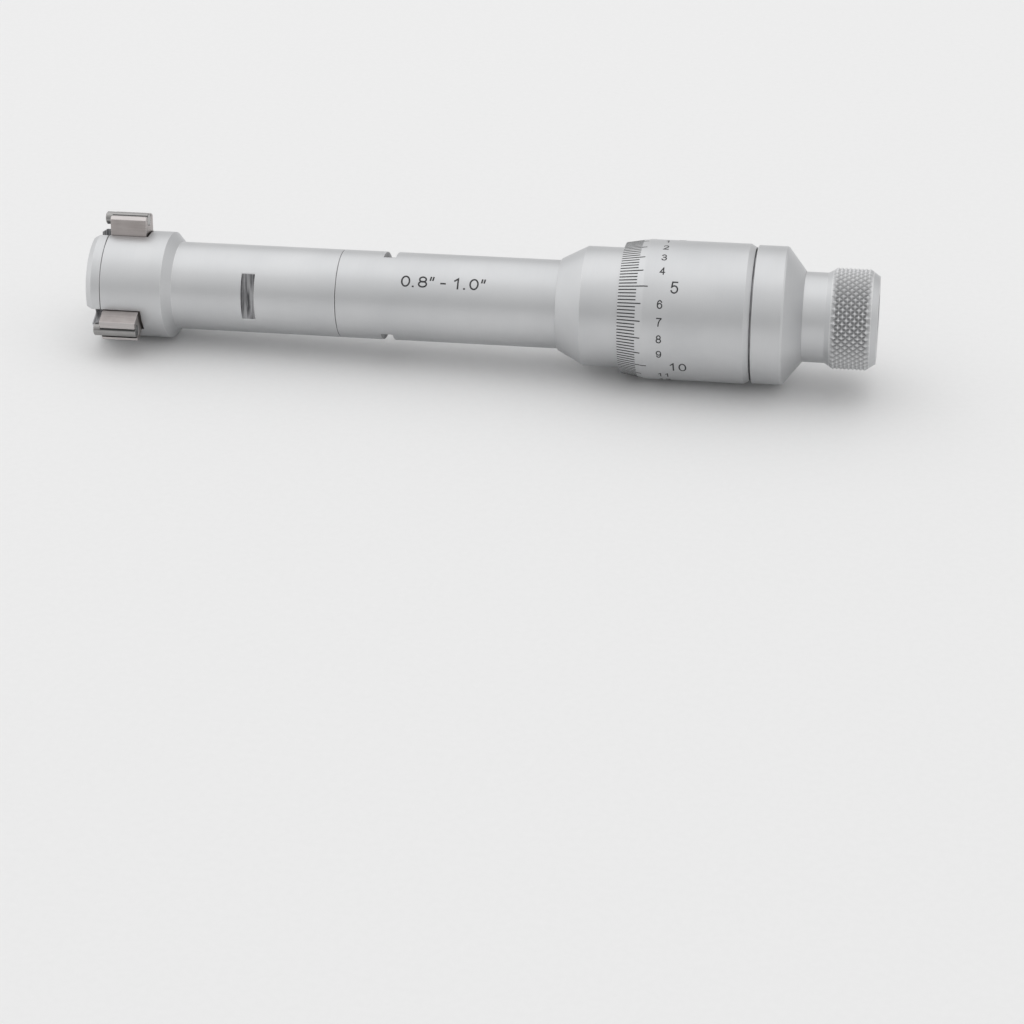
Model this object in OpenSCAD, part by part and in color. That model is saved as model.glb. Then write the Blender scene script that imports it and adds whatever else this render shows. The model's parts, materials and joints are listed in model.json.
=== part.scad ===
// Three-point inside micrometer, 20.32 to 25.4 mm, drawn lying on its side.
// X runs along the instrument from the end cap's front face to the ratchet knob, Z is up.
// A cone on a push rod spreads three anvils; one turn of the thimble moves it by one thread pitch.

/* [Measuring head] */
// Diameter of the measuring head
head_d = 18.5; // [17.5:0.1:19.5]
// Length of the head from its front face to the shoulder
head_len = 13.4; // [12:0.1:18]
// Thickness of the end cap
cap_t = 2.6; // [2.2:0.1:3.4]
// Length of the chamfer round the end cap's front edge
cap_chamfer_len = 1; // [0.3:0.1:1.4]
// Drop of that chamfer
cap_chamfer_drop = 0.6; // [0.2:0.05:0.7]
// Length of the cone shoulder between head and neck
shoulder_len = 1.5; // [0.6:0.1:3]
// Length of the neck from the shoulder to the joint with the tube
neck_len = 28.95; // [24:0.05:60]

/* [Anvils] */
// Bore diameter that the anvils touch in the state drawn
gauged_d = 25.286; // [24:0.001:25.4]
// Angle of the first anvil from straight up, towards the reader
anvil_angle = -9.5; // [-60:0.5:60]
// Width of an anvil
anvil_w = 4.4; // [3.6:0.1:4.8]
// Length of an anvil's block along the axis
anvil_len = 6.35; // [5:0.05:7.5]
// Chamfer along an anvil's outer edges
anvil_chamfer = 0.5; // [0.2:0.05:0.8]
// Chamfer across the ends of an anvil's block
anvil_end_chamfer = 0.15; // [0.05:0.05:0.4]
// How far the sides of an anvil's block stand back from its guide
anvil_relief = 0.1; // [0.02:0.01:0.2]
// Free space between an anvil's block and each end of its slot
anvil_end_gap = 0.35; // [0.2:0.05:0.6]
// Diameter of the carbide rod along an anvil
tip_d = 2.2; // [1.6:0.1:2.6]
// How far the rod stands proud of its anvil
tip_proud = 0.34; // [0.1:0.02:0.8]
// How far the rod runs ahead of its anvil
tip_lead = 1.2; // [0:0.1:2]

/* [Cone and push rod] */
// Thickness of an anvil's ledge under the ring that draws it in
ledge_t = 0.5; // [0.3:0.05:0.8]
// Rise of the cone for each millimetre along the axis
cone_slope = 0.5; // [0.4:0.02:0.52]
// Travel of the cone from the state drawn to the smallest bore
cone_travel = 4.97; // [3:0.01:5.5]
// Length of the round guide behind the cone
cone_land = 3.7; // [2.5:0.1:6]
// Diameter of the push rod
rod_d = 5; // [4:0.1:5.4]
// Wall of the bush that guides the rod
bush_wall = 1.95; // [1.2:0.05:2.4]
// Thickness of the bush's flange
bush_flange_t = 2; // [1:0.1:4]
// Length of the return spring in the state drawn
return_spring_len = 22; // [16:0.5:40]
// Turns of the return spring
return_spring_turns = 9; // [6:1:12]
// Wire diameter of the return spring
return_spring_wire = 0.75; // [0.4:0.05:1]
// Length of the collar that the return spring pushes
collar_len = 3.5; // [2:0.1:6]
// Wire diameter of the ring that draws the anvils in
ring_wire = 0.8; // [0.5:0.05:1]

/* [Tube] */
// Diameter of the neck and the tube
body_d = 15.2; // [14.4:0.1:17]
// Bore of the tube
tube_bore = 8.4; // [7.6:0.1:9]
// Visible length of the tube
tube_len = 38.15; // [32:0.05:90]
// Length of the tube that sits inside the sleeve
tube_seat = 8; // [5:0.5:10]
// Wall of the tube's spigot inside the neck
spigot_wall = 1.6; // [1.2:0.05:1.8]
// Length of the spigot
spigot_len = 7.85; // [5:0.05:10]

/* [Spanner slots] */
// Centre of the neck's slots behind the shoulder
neck_slot_at = 13.55; // [8:0.05:20]
// Width of the neck's slots
neck_slot_w = 2.35; // [1.5:0.05:4]
// Depth of the neck's slots
neck_slot_depth = 1.2; // [0.5:0.01:1.5]
// Angle of the neck's first slot from straight up
neck_slot_angle = 77; // [0:1:180]
// Centre of the tube's slots behind the joint
tube_slot_at = 8.55; // [6:0.05:20]
// Width of the tube's slots
tube_slot_w = 2.15; // [1.5:0.05:4]
// Depth of the tube's slots
tube_slot_depth = 1; // [0.4:0.01:1.5]
// Angle of the tube's first slot from straight up
tube_slot_angle = -24.5; // [-90:0.5:90]

/* [Sleeve and nut] */
// Diameter of the sleeve
sleeve_d = 20.5; // [19.8:0.1:22]
// Length of the whole sleeve
sleeve_len = 28.5; // [27:0.1:34]
// Length of the sleeve's cone front
sleeve_taper_len = 4.4; // [2:0.1:6]
// Height of the sleeve's front edge above the tube
sleeve_lip = 0.35; // [0.2:0.05:0.8]
// Length of sleeve that shows ahead of the thimble
sleeve_show = 6.55; // [6:0.05:7.5]
// Length of the spindle nut's plain body
nut_body_len = 8; // [6:0.5:9]
// Diameter of the spindle nut
nut_d = 12; // [11.4:0.1:13]
// Wall of the nut's slit tail
nut_tail_wall = 1.4; // [1:0.05:1.8]
// Width of the slits in the nut's tail
nut_slit = 0.6; // [0.3:0.05:1]
// Length of the adjusting nut
adjuster_len = 4.5; // [3:0.1:6]
// Wall of the adjusting nut
adjuster_wall = 3.2; // [2:0.1:3.4]

/* [Spindle] */
// Diameter of the spindle's threaded length
spindle_d = 7; // [6.2:0.1:7.4]
// Diameter of the spindle's plain front
spindle_tip_d = 5.8; // [4.8:0.1:6]
// How far the spindle's tip reaches into the tube
spindle_reach = 4; // [2:0.5:6]
// Diameter of the ball in the spindle's tip
ball_d = 3; // [2:0.1:3.6]
// Diameter of the spindle's collar
spindle_collar_d = 10.4; // [9.6:0.1:10.8]

/* [Thimble] */
// Length of the thimble
thimble_len = 22.15; // [20.5:0.05:24]
// Wall of the thimble
thimble_wall = 1.5; // [1.2:0.05:2.2]
// Length of the graduated bevel
bevel_len = 4.25; // [2:0.05:6]
// Drop of the bevel at the thimble's front edge
bevel_drop = 0.75; // [0.3:0.05:0.8]
// Length of the chamfer on the thimble's rear edge
thimble_chamfer_len = 1; // [0.3:0.05:1.5]
// Drop of that chamfer
thimble_chamfer_drop = 0.56; // [0.2:0.02:0.6]

/* [Rear cap] */
// Gap that shows between thimble and rear cap
rear_gap = 0.3; // [0.1:0.05:0.4]
// Length of the rear cap's cylinder
rear_len = 5.2; // [4.4:0.1:9]
// Length of the rear cap's bevel
rear_bevel_len = 3; // [1.5:0.1:5]
// Length of the edge break between cylinder and bevel
rear_edge = 0.3; // [0.1:0.05:0.6]
// Depth of the recess in the rear cap that the knob's neck turns in
neck_sink = 0.6; // [0.3:0.05:1]
// Step from the thimble's surface down to the rear cap's
rear_step = 0.15; // [0:0.05:0.5]
// Length of the spigot that carries the thimble
rear_spigot_len = 3.28; // [2:0.02:3.6]

/* [Ratchet] */
// Diameter of the knob's plain neck
knob_neck_d = 15.3; // [14.6:0.1:16]
// Length of the knob's plain neck with the part in the rear cap
knob_neck_len = 4.25; // [3:0.05:7]
// Diameter of the grip under the knurl
grip_d = 16.2; // [15.8:0.1:17.4]
// Length of the knurl
knurl_len = 6.7; // [5:0.1:10]
// Knurl diamonds round the grip
knurl_count = 43; // [24:1:48]
// Knurl diamonds along the grip
knurl_rows = 5; // [3:1:8]
// Height of the knurl's diamonds
knurl_depth = 0.45; // [0.2:0.05:0.6]
// Diameter of the knob's end face
knob_end_d = 14.8; // [12:0.1:15.6]
// Depth of the counterbore in the knob's end
knob_counterbore = 3.1; // [2.6:0.1:3.6]
// Length of the driver that the spring pushes into the ratchet's teeth
driver_len = 3.2; // [2.6:0.1:3.6]
// Diameter of the ratchet stem
stem_d = 6; // [5.4:0.1:6.2]
// Teeth of the ratchet
ratchet_teeth = 12; // [8:4:16]
// Height of the ratchet's teeth
tooth_h = 0.7; // [0.4:0.05:0.9]
// Wire diameter of the ratchet spring
ratchet_spring_wire = 0.7; // [0.4:0.05:0.9]

/* [Fits] */
// Clearance of round sliding fits
slide_gap = 0.03; // [0.02:0.005:0.06]
// Clearance of the anvils in their slots, of the thread, the collar and the knob's neck
guide_gap = 0.05; // [0.03:0.01:0.1]
// Clearance between pieces that are fixed to each other
press_gap = 0.02; // [0.01:0.005:0.04]
// Clearance between thimble and sleeve
thimble_gap = 0.15; // [0.1:0.01:0.25]
// Gap between the rear cap's recess and the knob's front face
knob_gap = 0.15; // [0.1:0.01:0.3]
// Chamfer on the edges where two turned pieces meet
edge_break = 0.12; // [0.05:0.01:0.2]

/* [Hidden] */
$fn = 96;
cut_over = 1;
coil_sides = 6;
coil_steps = 14;
coil_dead_pitch = 1.15;

// Head and anvils
head_r = head_d / 2;
body_r = body_d / 2;
reach = gauged_d / 2;
tip_r = tip_d / 2;
tip_axis_r = reach - tip_r;
tip_chamfer = 0.15;
block_x0 = cap_t + anvil_end_gap;
block_x1 = block_x0 + anvil_len;
block_top = reach - tip_proud;
slot_w = anvil_w + 2 * guide_gap;
slot_x1 = block_x1 + anvil_end_gap;
anvil_travel = cone_travel * cone_slope;
// The part of an anvil below the head's surface fills its slot from end to end
guide_x0 = cap_t + guide_gap;
guide_x1 = slot_x1 - guide_gap;
guide_sunk = 0.95;
guide_top = head_r - guide_sunk;
// The anvils' inner ends are pointed so that they pass each other when drawn in
point_gap = 0.15;
point_half_angle = 58;
point_r = anvil_travel + point_gap;
ANVIL_ANGLES = [for (i = [0 : 2]) anvil_angle + 120 * i];

// Ring groove behind the slots, the wire ring in it and the anvils' ledges under the ring
ring_groove_wall = 0.75;
ring_play = 0.15;
ring_opening = 30;
ring_wire_r = ring_wire / 2;
ring_groove_r = head_r - ring_groove_wall;
ring_r = ring_groove_r - ring_play - ring_wire_r;
ring_x = guide_x1 + press_gap + guide_gap + ring_wire_r;
ring_groove_x0 = ring_x - ring_wire_r - ring_play;
ring_groove_x1 = ring_x + ring_wire_r + 2 * ring_play;
ledge_x1 = ring_x + ring_wire_r;
ledge_top = sqrt(pow(ring_r - ring_wire_r - press_gap, 2) - pow(anvil_w / 2, 2));

// Cone, rod and bush
cone_tip_gap = 0.1;
cone_base_gap = 0.25;
cone_face_gap = slide_gap * sqrt(1 + cone_slope * cone_slope);
cone_front_r = ledge_top - ledge_t - cone_face_gap - cone_slope * (ledge_x1 - block_x0);
function cone_r(x) = cone_front_r + cone_slope * (x - block_x0);
cone_tip_x = block_x0 + cone_tip_gap;
cone_base_x = slot_x1 + cone_base_gap;
cone_base_r = cone_r(cone_base_x);
land_x1 = cone_base_x + cone_land;
land_chamfer = 0.3;
head_bore_r = cone_base_r + slide_gap;
chamber_room = 0.3;
chamber_x1 = land_x1 + cone_travel + chamber_room;
rod_r = rod_d / 2;
rod_shoulder = 0.5;
rod_screw_r = rod_r - rod_shoulder;
rod_screw_len = 5.7;
rod_chamfer = 0.3;
bush_r = rod_r + slide_gap + bush_wall;
bush_step = 1.1;
bush_x0 = chamber_x1 + bush_step;

// Neck, tube and sleeve stations along the axis
neck_x0 = head_len + shoulder_len;
joint_x = neck_x0 + neck_len;
spigot_x0 = joint_x - spigot_len;
flange_x0 = spigot_x0 - bush_flange_t;
tube_bore_r = tube_bore / 2;
spigot_r = tube_bore_r + spigot_wall;
spigot_chamfer = 0.3;
bush_flange_room = 0.1;
bush_flange_r = spigot_r - bush_flange_room;
collar_x0 = spigot_x0 + return_spring_len;
return_spring_r = (rod_r + tube_bore_r) / 2;
sleeve_x0 = joint_x + tube_len;
tube_x1 = sleeve_x0 + tube_seat;
sleeve_r = sleeve_d / 2;
sleeve_taper_x1 = sleeve_x0 + sleeve_taper_len;
sleeve_x1 = sleeve_x0 + sleeve_len;

// Spindle, its nut and the adjusting nut
spindle_r = spindle_d / 2;
spindle_tip_r = spindle_tip_d / 2;
spindle_collar_r = spindle_collar_d / 2;
spindle_tip_x = tube_x1 - spindle_reach;
ball_r = ball_d / 2;
ball_sunk = 0.5;
ball_x = spindle_tip_x + ball_sunk;
ball_seat_depth = ball_x + ball_r + press_gap;
rod_x1 = ball_x - ball_r - press_gap;
nut_r = nut_d / 2;
nut_front_gap = 2;
nut_rear_gap = 1.5;
nut_x0 = tube_x1 + nut_front_gap;
nut_x1 = sleeve_x1 - nut_rear_gap;
nut_tail_x0 = nut_x0 + nut_body_len;
nut_tail_r = spindle_r + guide_gap + nut_tail_wall;
nut_slit_at = 2;
nut_slit_x0 = nut_tail_x0 + nut_slit_at;
adjuster_at = 2.5;
adjuster_x0 = nut_tail_x0 + adjuster_at;
adjuster_r = nut_tail_r + press_gap + adjuster_wall;
adjuster_key_w = 1.5;
adjuster_key_depth = 1.2;
adjuster_room = 0.4;
thread_lead = 0.2;
thread_tail = 1.7;
thread_x0 = nut_x0 - thread_lead;
thread_x1 = sleeve_x1 + thread_tail;

// Thimble and rear cap
thimble_bore_r = sleeve_r + thimble_gap;
thimble_r = thimble_bore_r + thimble_wall;
thimble_x0 = sleeve_taper_x1 + sleeve_show;
thimble_x1 = thimble_x0 + thimble_len;
rear_r = thimble_r - rear_step;
rear_x0 = thimble_x1 + rear_gap;
rear_x1 = rear_x0 + rear_len;
rear_x2 = rear_x1 + rear_bevel_len;
rear_spigot_x0 = rear_x0 - rear_spigot_len;
rear_spigot_step = 0.3;
rear_spigot_r = thimble_bore_r + rear_spigot_step;
rear_spigot_wall = 1.7;
knob_neck_r = knob_neck_d / 2;
neck_recess_r = knob_neck_r + guide_gap;
neck_lip = 0.12;
seat_taper = 0.6;
seat_inset = 1.4;
seat_x1 = rear_x1 - seat_inset;

// Ratchet stem, driver, knob and screw
stem_r = stem_d / 2;
stem_screw_r = 2.4;
stem_screw_len = 7;
stem_flange_w = 3;
stem_flange_r = stem_r + stem_flange_w;
stem_flange_t = 1.2;
tooth_x0 = seat_x1 + stem_flange_t;
tooth_gap = 0.1;
tooth_turn = 1.5;
tooth_sink = 0.3;
tooth_root_gap = 0.6;
tooth_in_r = stem_r + tooth_root_gap;
driver_wall = 2;
driver_r = stem_r + driver_wall;
driver_x0 = tooth_x0 + tooth_h + tooth_gap;
driver_x1 = driver_x0 + driver_len;
lug_count = 4;
lug_h = 0.7;
lug_r = driver_r + lug_h;
lug_w = 1.4;
knob_x0 = rear_x2 - neck_sink + knob_gap;
knob_neck_x1 = knob_x0 + knob_neck_len;
grip_r = grip_d / 2;
grip_taper_len = 0.9;
knurl_x0 = knob_neck_x1 + grip_taper_len;
knurl_x1 = knurl_x0 + knurl_len;
knurl_lift = 0.05;
knurl_root = 1;
knurl_valley_r = grip_r + knurl_lift;
knurl_peak_r = knurl_valley_r + knurl_depth;
knurl_in_r = grip_r - knurl_root;
knob_end_len = 1.1;
knob_x1 = knurl_x1 + knob_end_len;
web_t = 3;
web_x1 = knob_x1 - knob_counterbore;
web_x0 = web_x1 - web_t;
cavity_gap = 0.2;
cavity_r = driver_r + cavity_gap;
ratchet_spring_r = (stem_r + cavity_r) / 2;
ratchet_spring_turns = 4;
stem_x1 = web_x1 + guide_gap;
stem_tap_r = 1.5;
stem_tap_len = 7;
knob_screw_r = 4.4;
knob_screw_t = 2.2;
knob_screw_room = 0.2;
knob_screw_slot_w = 0.9;
knob_screw_slot_depth = 0.9;

// Screws in the end cap
cap_screw_r = 0.7;
cap_screw_head_r = 1.1;
cap_screw_sunk = 0.15;
cap_screw_len = 6.9;
cap_screw_slot_w = 0.35;
cap_screw_slot_depth = 0.4;
cap_screw_wall = 0.3;
cap_screw_circle_r = head_bore_r + cap_screw_wall + cap_screw_r;

CHROME = "#c6c9cc";
GROUND_STEEL = "#a59b98";
CARBIDE = "#6d6a69";
INNER_STEEL = "#9aa0a5";
BRONZE = "#b08d57";
SPRING_STEEL = "#7d8288";

// A solid turned about the X axis from [x, radius] points
module turned(points) {
    rotate([0, 90, 0])
        rotate_extrude()
            polygon([for (p = points) [p[1], p[0]]]);
}

// A tube along X
module tube(x0, x1, out_r, in_r) {
    turned([[x0, in_r], [x0, out_r], [x1, out_r], [x1, in_r]]);
}

// A plain round bar along X
module bar(x0, x1, r) {
    translate([x0, 0, 0])
        rotate([0, 90, 0])
            cylinder(h = x1 - x0, r = r);
}

// Turns its children about X, from straight up towards the reader
module at_angle(angle) {
    rotate([angle, 0, 0])
        children();
}

// A box whose length lies along X, centred in Y, standing on height z0
module block(x0, x1, width, z0, z1) {
    translate([x0, -width / 2, z0])
        cube([x1 - x0, width, z1 - z0]);
}

// The slot that an anvil slides in, cut from the front through cap and head
module anvil_slots() {
    for (a = ANVIL_ANGLES)
        at_angle(a)
            block(-cut_over, slot_x1, slot_w, head_bore_r - cut_over, head_r + cut_over);
}

// Two opposite slots for a flat spanner, milled straight across
module spanner_slots(x, width, depth, angle) {
    for (side = [0, 180])
        at_angle(angle + side)
            block(x - width / 2, x + width / 2, body_d + 2 * cut_over, body_r - depth, body_r + cut_over);
}

// A coil of round wire along X with its end turns closed up
module coil(x0, x1, mean_r, wire, turns) {
    wire_r = wire / 2;
    dead = wire * coil_dead_pitch;
    live = x1 - x0 - wire - 2 * dead;
    function coil_x(t) = x0 + wire_r + (
        t < 1 ? t * dead :
        t > turns - 1 ? live + dead + (t - turns + 1) * dead :
        dead + live * (t - 1) / (turns - 2)
    );
    steps = turns * coil_steps;
    points = [
        for (i = [0 : steps], k = [0 : coil_sides - 1])
            let (
                turn = i / coil_steps,
                around = 360 * turn,
                side = 360 * k / coil_sides,
                r = mean_r + wire_r * cos(side)
            )
            [coil_x(turn) + wire_r * sin(side), r * cos(around), r * sin(around)]
    ];
    function at(i, k) = i * coil_sides + k % coil_sides;
    walls = [
        for (i = [0 : steps - 1], k = [0 : coil_sides - 1])
            each [
                [at(i, k), at(i, k + 1), at(i + 1, k + 1)],
                [at(i, k), at(i + 1, k + 1), at(i + 1, k)]
            ]
    ];
    first = [for (k = [coil_sides - 1 : -1 : 0]) at(0, k)];
    last = [for (k = [0 : coil_sides - 1]) at(steps, k)];
    polyhedron(points, concat(walls, [first, last]));
}

// A ring of saw teeth that face along X, closed off at x = back
module saw_teeth(root, back, in_r, out_r) {
    step = 360 / ratchet_teeth;
    function corner(r, a, x) = [x, -r * sin(a), r * cos(a)];
    points = [
        for (i = [0 : ratchet_teeth - 1])
            each [
                corner(in_r, i * step, back), corner(out_r, i * step, back),
                corner(in_r, i * step, root), corner(out_r, i * step, root),
                corner(in_r, i * step, root + tooth_h), corner(out_r, i * step, root + tooth_h)
            ]
    ];
    function at(i, k) = 6 * (i % ratchet_teeth) + k;
    function flip(face) = [for (k = [len(face) - 1 : -1 : 0]) face[k]];
    // Triangles of one tooth's round wall between its back, its root and its crest
    function wall(i, j, base, low, high) = back < root
        ? [
            [at(i, low), at(i, base), at(j, base)],
            [at(i, low), at(j, base), at(j, low)],
            [at(i, low), at(j, low), at(j, high)]
        ]
        : [
            [at(j, high), at(i, low), at(i, high)],
            [at(j, high), at(i, high), at(i, base)],
            [at(j, high), at(i, base), at(j, base)]
        ];
    faces = [
        for (i = [0 : ratchet_teeth - 1])
            let (j = i + 1)
            each concat(
                [
                    [at(i, 0), at(j, 0), at(j, 1), at(i, 1)],
                    [at(i, 2), at(i, 3), at(j, 5)],
                    [at(i, 2), at(j, 5), at(j, 4)],
                    [at(j, 2), at(j, 4), at(j, 5), at(j, 3)]
                ],
                wall(i, j, 1, 3, 5),
                [for (t = wall(i, j, 0, 2, 4)) flip(t)]
            )
    ];
    polyhedron(points, back < root ? [for (f = faces) flip(f)] : faces);
}

// A band of diamond knurling: rows of four-sided pyramids between two sets of crossing grooves
module knurl_band() {
    around = 2 * knurl_count;
    along = 2 * knurl_rows;
    function is_peak(i, j) = (i + j) % 2 == 0 && j > 0 && j < along;
    function knurl_point(i, j, r) =
        let (a = 360 * i / around)
        [knurl_x0 + knurl_len * j / along, -r * sin(a), r * cos(a)];
    outer = [
        for (j = [0 : along], i = [0 : around - 1])
            knurl_point(i, j, is_peak(i, j) ? knurl_peak_r : knurl_valley_r)
    ];
    inner = [
        for (j = [0, along], i = [0 : around - 1])
            knurl_point(i, j, knurl_in_r)
    ];
    function at(i, j) = j * around + i % around;
    function inner_at(i, end) = len(outer) + end * around + i % around;
    diamonds = [
        for (j = [0 : along - 1], i = [0 : around - 1])
            each (i + j) % 2 == 0
                ? [
                    [at(i, j), at(i, j + 1), at(i + 1, j)],
                    [at(i + 1, j), at(i, j + 1), at(i + 1, j + 1)]
                ]
                : [
                    [at(i, j), at(i + 1, j + 1), at(i + 1, j)],
                    [at(i, j), at(i, j + 1), at(i + 1, j + 1)]
                ]
    ];
    ends = [
        for (i = [0 : around - 1])
            each [
                [at(i, 0), at(i + 1, 0), inner_at(i + 1, 0), inner_at(i, 0)],
                [inner_at(i, 1), inner_at(i + 1, 1), at(i + 1, along), at(i, along)],
                [inner_at(i, 0), inner_at(i + 1, 0), inner_at(i + 1, 1), inner_at(i, 1)]
            ]
    ];
    polyhedron(concat(outer, inner), concat(diamonds, ends));
}

// Places its children at each of the end cap's screws, between the anvils
module at_cap_screws() {
    for (a = ANVIL_ANGLES)
        at_angle(a + 60)
            translate([0, 0, cap_screw_circle_r])
                children();
}

// A countersunk screw along X, larger by grow for its hole
module cap_screw_form(grow, head_x) {
    cone_len = cap_screw_head_r - cap_screw_r;
    turned([
        [head_x, 0],
        [head_x, cap_screw_head_r + grow],
        [cap_screw_sunk, cap_screw_head_r + grow],
        [cap_screw_sunk + cone_len, cap_screw_r + grow],
        [cap_screw_len + grow, cap_screw_r + grow],
        [cap_screw_len + grow, 0]
    ]);
}

module head_body() {
    color(CHROME)
        difference() {
            turned([
                [cap_t, head_bore_r],
                [cap_t, head_r - edge_break],
                [cap_t + edge_break, head_r],
                [head_len, head_r],
                [neck_x0, body_r],
                [joint_x - edge_break, body_r],
                [joint_x, body_r - edge_break],
                [joint_x, spigot_r + press_gap],
                [flange_x0, spigot_r + press_gap],
                [flange_x0, bush_r + press_gap],
                [chamber_x1, bush_r + press_gap],
                [chamber_x1, head_bore_r],
                [ring_groove_x1, head_bore_r],
                [ring_groove_x1, ring_groove_r],
                [ring_groove_x0, ring_groove_r],
                [ring_groove_x0, head_bore_r]
            ]);
            anvil_slots();
            spanner_slots(neck_x0 + neck_slot_at, neck_slot_w, neck_slot_depth, neck_slot_angle);
            at_cap_screws()
                cap_screw_form(press_gap, -cut_over);
        }
}

module end_cap() {
    color(CHROME)
        difference() {
            turned([
                [0, 0],
                [0, head_r - cap_chamfer_drop],
                [cap_chamfer_len, head_r],
                [cap_t - edge_break, head_r],
                [cap_t, head_r - edge_break],
                [cap_t, 0]
            ]);
            anvil_slots();
            at_cap_screws()
                cap_screw_form(press_gap, -cut_over);
        }
}

module end_cap_screws() {
    color(INNER_STEEL)
        at_cap_screws()
            difference() {
                cap_screw_form(0, cap_screw_sunk);
                block(
                    -cut_over,
                    cap_screw_sunk + cap_screw_slot_depth,
                    cap_screw_slot_w,
                    -2 * cap_screw_head_r,
                    2 * cap_screw_head_r
                );
            }
}

module guide_bush() {
    color(BRONZE)
        turned([
            [bush_x0, rod_r + slide_gap],
            [bush_x0, bush_r],
            [flange_x0, bush_r],
            [flange_x0, bush_flange_r],
            [spigot_x0, bush_flange_r],
            [spigot_x0, rod_r + slide_gap]
        ]);
}

module retraction_ring() {
    color(SPRING_STEEL)
        translate([ring_x, 0, 0])
            at_angle(anvil_angle + 60 + ring_opening / 2)
                rotate([0, 90, 0])
                    rotate_extrude(angle = 360 - ring_opening, start = 180)
                        translate([ring_r, 0])
                            circle(r = ring_wire_r, $fn = 32);
}

module return_spring() {
    color(SPRING_STEEL)
        coil(
            spigot_x0 + press_gap,
            collar_x0 - press_gap,
            return_spring_r,
            return_spring_wire,
            return_spring_turns
        );
}

module body_tube() {
    color(CHROME)
        difference() {
            turned([
                [spigot_x0, tube_bore_r],
                [spigot_x0, spigot_r - spigot_chamfer],
                [spigot_x0 + spigot_chamfer, spigot_r],
                [joint_x, spigot_r],
                [joint_x, body_r - edge_break],
                [joint_x + edge_break, body_r],
                [tube_x1, body_r],
                [tube_x1, tube_bore_r]
            ]);
            spanner_slots(joint_x + tube_slot_at, tube_slot_w, tube_slot_depth, tube_slot_angle);
        }
}

module sleeve() {
    color(CHROME)
        turned([
            [sleeve_x0, body_r + press_gap],
            [sleeve_x0, body_r + sleeve_lip],
            [sleeve_taper_x1, sleeve_r],
            [sleeve_x1, sleeve_r],
            [sleeve_x1, adjuster_r + adjuster_room],
            [nut_tail_x0, adjuster_r + adjuster_room],
            [nut_tail_x0, nut_r + press_gap],
            [tube_x1, nut_r + press_gap],
            [tube_x1, body_r + press_gap]
        ]);
}

module spindle_nut() {
    color(BRONZE)
        difference() {
            turned([
                [nut_x0, spindle_r + guide_gap],
                [nut_x0, nut_r],
                [nut_tail_x0, nut_r],
                [nut_tail_x0, nut_tail_r],
                [nut_x1, nut_tail_r],
                [nut_x1, spindle_r + guide_gap]
            ]);
            for (a = ANVIL_ANGLES)
                at_angle(a)
                    block(nut_slit_x0, nut_x1 + cut_over, nut_slit, 0, nut_tail_r + cut_over);
        }
}

module adjusting_nut() {
    key_floor = adjuster_x0 + adjuster_len - adjuster_key_depth;
    color(INNER_STEEL)
        difference() {
            tube(adjuster_x0, adjuster_x0 + adjuster_len, adjuster_r, nut_tail_r + press_gap);
            block(
                key_floor,
                adjuster_x0 + adjuster_len + cut_over,
                adjuster_key_w,
                -adjuster_r - cut_over,
                adjuster_r + cut_over
            );
        }
}

// An anvil standing straight up, seen from the side and from the front, less the rod's channel
module anvil() {
    half = anvil_w / 2;
    block_half = half - anvil_relief;
    point_rise = half / tan(point_half_angle);
    color(GROUND_STEEL)
        difference() {
            intersection() {
                rotate([90, 0, 0])
                    linear_extrude(height = anvil_w, center = true)
                        polygon([
                            [guide_x0, cone_r(guide_x0) + cone_face_gap],
                            [ledge_x1, cone_r(ledge_x1) + cone_face_gap],
                            [ledge_x1, ledge_top],
                            [guide_x1, ledge_top],
                            [guide_x1, guide_top],
                            [block_x1, guide_top],
                            [block_x1, block_top - anvil_end_chamfer],
                            [block_x1 - anvil_end_chamfer, block_top],
                            [block_x0 + anvil_end_chamfer, block_top],
                            [block_x0, block_top - anvil_end_chamfer],
                            [block_x0, guide_top],
                            [guide_x0, guide_top]
                        ]);
                rotate([90, 0, 90])
                    linear_extrude(height = ledge_x1 + cut_over)
                        polygon([
                            [0, point_r],
                            [half, point_r + point_rise],
                            [half, guide_top],
                            [block_half, guide_top],
                            [block_half, block_top - anvil_chamfer],
                            [block_half - anvil_chamfer, block_top],
                            [anvil_chamfer - block_half, block_top],
                            [-block_half, block_top - anvil_chamfer],
                            [-block_half, guide_top],
                            [-half, guide_top],
                            [-half, point_r + point_rise]
                        ]);
            }
            translate([0, 0, tip_axis_r])
                bar(0, block_x1 + cut_over, tip_r + press_gap);
            block(0, block_x1 + cut_over, tip_d + 2 * press_gap, tip_axis_r, reach + cut_over);
        }
}

// The carbide rod of an anvil that stands straight up
module tip() {
    tip_x0 = block_x0 - tip_lead;
    color(CARBIDE)
        translate([0, 0, tip_axis_r])
            turned([
                [tip_x0, 0],
                [tip_x0, tip_r - tip_chamfer],
                [tip_x0 + tip_chamfer, tip_r],
                [block_x1 - tip_chamfer, tip_r],
                [block_x1, tip_r - tip_chamfer],
                [block_x1, 0]
            ]);
}

module measuring_cone() {
    color(INNER_STEEL)
        turned([
            [cone_tip_x, 0],
            [cone_tip_x, cone_r(cone_tip_x)],
            [cone_base_x, cone_base_r],
            [land_x1 - land_chamfer, cone_base_r],
            [land_x1, cone_base_r - land_chamfer],
            [land_x1, rod_screw_r + press_gap],
            [land_x1 - rod_screw_len, rod_screw_r + press_gap],
            [land_x1 - rod_screw_len, 0]
        ]);
}

module push_rod() {
    color(INNER_STEEL)
        turned([
            [land_x1 - rod_screw_len + press_gap, 0],
            [land_x1 - rod_screw_len + press_gap, rod_screw_r],
            [land_x1, rod_screw_r],
            [land_x1, rod_r],
            [rod_x1 - rod_chamfer, rod_r],
            [rod_x1, rod_r - rod_chamfer],
            [rod_x1, 0]
        ]);
}

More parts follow.
